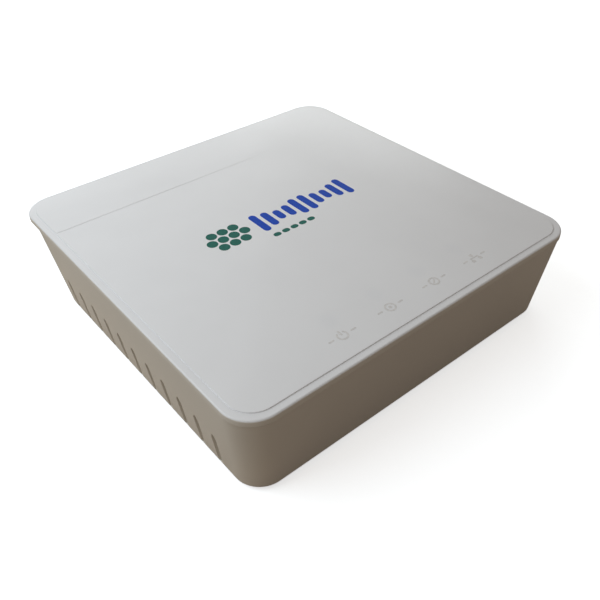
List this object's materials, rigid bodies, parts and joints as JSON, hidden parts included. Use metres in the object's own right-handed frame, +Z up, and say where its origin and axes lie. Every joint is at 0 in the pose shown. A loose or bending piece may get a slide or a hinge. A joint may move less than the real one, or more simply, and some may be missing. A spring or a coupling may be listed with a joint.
{
  "type": "optical network terminal",
  "caption": "Square desktop optical network terminal: two-shell white case with side vents, optical, network and power sockets at the back, a push switch and hidden lights.",
  "frame": {"origin": "on the resting plane, under the middle of the square cover", "axes": "+Z up, the indicator side faces -Y, the sockets face +Y, +X is to the right seen from the indicator side"},
  "size_m": [0.105, 0.105, 0.0271],
  "materials": {
    "cover_white": "fine moulded satin, off-white",
    "case_white": "fine moulded satin, warm off-white",
    "foot_rubber": "matt black",
    "screw_steel": "zinc-plated",
    "label_paper": "blank satin label",
    "board_green": "green solder mask",
    "package_black": "moulded epoxy",
    "tinned_sheet": "tin-plated sheet",
    "sink_aluminium": "bead-blasted",
    "can_aluminium": "drawn can",
    "led_resin": "cast lens resin",
    "guide_acrylic": "clear acrylic",
    "adapter_green": "moulded green",
    "sleeve_ceramic": "ground",
    "module_steel": "turned and ground",
    "can_gold": "gold-plated can",
    "socket_black": "moulded black",
    "contact_gold": "gold-plated wire",
    "button_black": "satin black",
    "plunger_white": "natural nylon"
  },
  "bodies": {
    "chassis": {"board_screw_1": "screw_steel", "board_screw_2": "screw_steel", "board_screw_3": "screw_steel", "board_screw_4": "screw_steel", "bottom_case": "case_white", "capacitor_1": "can_aluminium", "capacitor_2": "can_aluminium", "capacitor_3": "can_aluminium", "case_screw_1": "screw_steel", "case_screw_2": "screw_steel", "case_screw_3": "screw_steel", "case_screw_4": "screw_steel", "clock_crystal": "tinned_sheet", "dc_jack_housing": "socket_black", "dc_jack_pin": "tinned_sheet", "dc_jack_spring": "tinned_sheet", "ferrule_sleeve": "sleeve_ceramic", "flash_chip": "package_black", "heat_sink": "sink_aluminium", "lan_contact_1": "contact_gold", "lan_contact_2": "contact_gold", "lan_contact_3": "contact_gold", "lan_contact_4": "contact_gold", "lan_contact_5": "contact_gold", "lan_contact_6": "contact_gold", "lan_contact_7": "contact_gold", "lan_contact_8": "contact_gold", "lan_jack_housing": "socket_black", "lan_jack_shield": "tinned_sheet", "lan_transformer": "package_black", "laser_can": "can_gold", "laser_driver": "package_black", "led_loss": "led_resin", "led_network": "led_resin", "led_optical": "led_resin", "led_power": "led_resin", "light_guide": "guide_acrylic", "main_board": "board_green", "main_chip": "package_black", "memory_chip": "package_black", "optical_adapter": "adapter_green", "optical_module": "module_steel", "photodiode_can": "can_gold", "power_inductor_1": "package_black", "power_inductor_2": "package_black", "power_switch": "socket_black", "rating_label": "label_paper", "regulator_chip": "package_black", "reset_switch": "socket_black", "rf_shield": "tinned_sheet", "rubber_foot_1": "foot_rubber", "rubber_foot_2": "foot_rubber", "rubber_foot_3": "foot_rubber", "rubber_foot_4": "foot_rubber", "top_cover": "cover_white"},
    "power_button": {"power_button": "button_black", "switch_plunger": "plunger_white"},
    "reset_plunger": {"reset_plunger": "plunger_white"}
  },
  "joints": [
    {"name": "power_press", "type": "slide", "parent": "chassis", "child": "power_button", "axis": [0, -1, 0], "range_m": [0, 0.0022]},
    {"name": "reset_press", "type": "slide", "parent": "chassis", "child": "reset_plunger", "axis": [0, -1, 0], "range_m": [0, 0.0003]}
  ]
}
